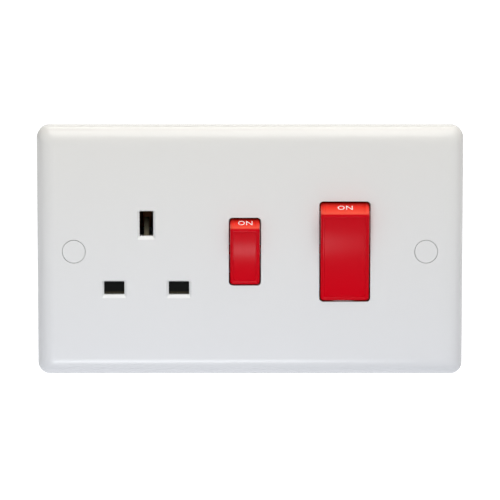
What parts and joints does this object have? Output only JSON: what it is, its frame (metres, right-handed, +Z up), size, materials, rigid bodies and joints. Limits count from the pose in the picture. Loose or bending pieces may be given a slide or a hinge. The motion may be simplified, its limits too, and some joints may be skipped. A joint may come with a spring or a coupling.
{
  "type": "cooker control unit",
  "caption": "White wall-mounted cooker control unit with a large red rocker switch beside a switched three-pin socket outlet, with clamp terminals behind.",
  "frame": {"origin": "midway between the two fixing screws, in the wall plane at the plate's back rim", "axes": "+X to the right along the plate, +Y into the wall, +Z up; the face looks along -Y"},
  "size_m": [0.146, 0.0412, 0.086],
  "materials": {
    "white_moulding": "smooth gloss urea moulding",
    "red_moulding": "satin red moulding",
    "housing_moulding": "fine matt moulding",
    "shutter_moulding": "dark matt nylon",
    "carrier_moulding": "matt moulding",
    "plunger_moulding": "natural acetal",
    "brass": "sawn and tumbled brass",
    "copper": "rolled copper strip",
    "silver": "silver contact alloy",
    "zinc_steel": "bright zinc plate",
    "spring_steel": "drawn spring wire"
  },
  "bodies": {
    "unit": {"front_plate": "white_moulding", "screw_cap_left": "white_moulding", "screw_cap_right": "white_moulding", "rear_housing": "housing_moulding", "shutter_carrier": "carrier_moulding", "shutter_spring": "spring_steel", "fixing_screws": "zinc_steel", "housing_screws": "zinc_steel", "terminal_screws": "brass", "earth_screws": "brass", "supply_live_terminal": "brass", "supply_neutral_terminal": "brass", "load_live_terminal": "brass", "load_neutral_terminal": "brass", "earth_terminal": "brass", "live_link": "copper", "neutral_link": "copper", "live_pin_contact": "copper", "neutral_pin_contact": "copper", "earth_pin_contact": "copper", "cooker_live_fixed_tip": "silver", "cooker_neutral_fixed_tip": "silver", "socket_fixed_tip": "silver"},
    "cooker_rocker": {"cooker_rocker": "red_moulding", "cooker_live_spring": "spring_steel", "cooker_neutral_spring": "spring_steel"},
    "socket_rocker": {"socket_rocker": "red_moulding", "socket_spring": "spring_steel"},
    "shutter": {"shutter": "shutter_moulding"},
    "cooker_live_contact": {"cooker_live_moving_contact": "copper", "cooker_live_moving_tip": "silver"},
    "cooker_neutral_contact": {"cooker_neutral_moving_contact": "copper", "cooker_neutral_moving_tip": "silver"},
    "socket_contact": {"socket_moving_contact": "copper", "socket_moving_tip": "silver"},
    "cooker_live_plunger": {"cooker_live_plunger": "plunger_moulding"},
    "cooker_neutral_plunger": {"cooker_neutral_plunger": "plunger_moulding"},
    "socket_plunger": {"socket_plunger": "plunger_moulding"}
  },
  "joints": [
    {"name": "cooker_switch", "type": "hinge", "parent": "unit", "child": "cooker_rocker", "pos_m": [0.03245, -0.0026, 0], "axis": [-1, 0, 0], "range_deg": [0, 18]},
    {"name": "socket_switch", "type": "hinge", "parent": "unit", "child": "socket_rocker", "pos_m": [-0.00175, -0.00385, 0], "axis": [-1, 0, 0], "range_deg": [0, 20]},
    {"name": "cooker_live_break", "type": "hinge", "parent": "unit", "child": "cooker_live_contact", "pos_m": [0.02705, 0.011, 0], "axis": [1, 0, 0], "range_deg": [0, 16]},
    {"name": "cooker_neutral_break", "type": "hinge", "parent": "unit", "child": "cooker_neutral_contact", "pos_m": [0.03785, 0.011, 0], "axis": [1, 0, 0], "range_deg": [0, 16]},
    {"name": "socket_break", "type": "hinge", "parent": "unit", "child": "socket_contact", "pos_m": [-0.00175, 0.011, 0], "axis": [1, 0, 0], "range_deg": [0, 16]},
    {"name": "cooker_live_press", "type": "slide", "parent": "cooker_rocker", "child": "cooker_live_plunger", "axis": [0, -0.9877, -0.1564], "range_m": [0, 0.001], "stiffness_N_per_m": 400, "springref_m": -0.004, "deforming": ["cooker_live_spring"]},
    {"name": "cooker_neutral_press", "type": "slide", "parent": "cooker_rocker", "child": "cooker_neutral_plunger", "axis": [0, -0.9877, -0.1564], "range_m": [0, 0.001], "stiffness_N_per_m": 400, "springref_m": -0.004, "deforming": ["cooker_neutral_spring"]},
    {"name": "socket_press", "type": "slide", "parent": "socket_rocker", "child": "socket_plunger", "axis": [0, -0.9848, -0.1736], "range_m": [0, 0.001], "stiffness_N_per_m": 400, "springref_m": -0.004, "deforming": ["socket_spring"]},
    {"name": "shutter_slide", "type": "slide", "parent": "unit", "child": "shutter", "axis": [0, 0, -1], "range_m": [0, 0.006], "stiffness_N_per_m": 80, "springref_m": -0.004, "deforming": ["shutter_spring"]}
  ],
  "couplings": [
    {"joint": "cooker_live_break", "follows": "cooker_switch", "ratio": 0.8888},
    {"joint": "cooker_neutral_break", "follows": "cooker_switch", "ratio": 0.8888},
    {"joint": "socket_break", "follows": "socket_switch", "ratio": 0.8}
  ]
}
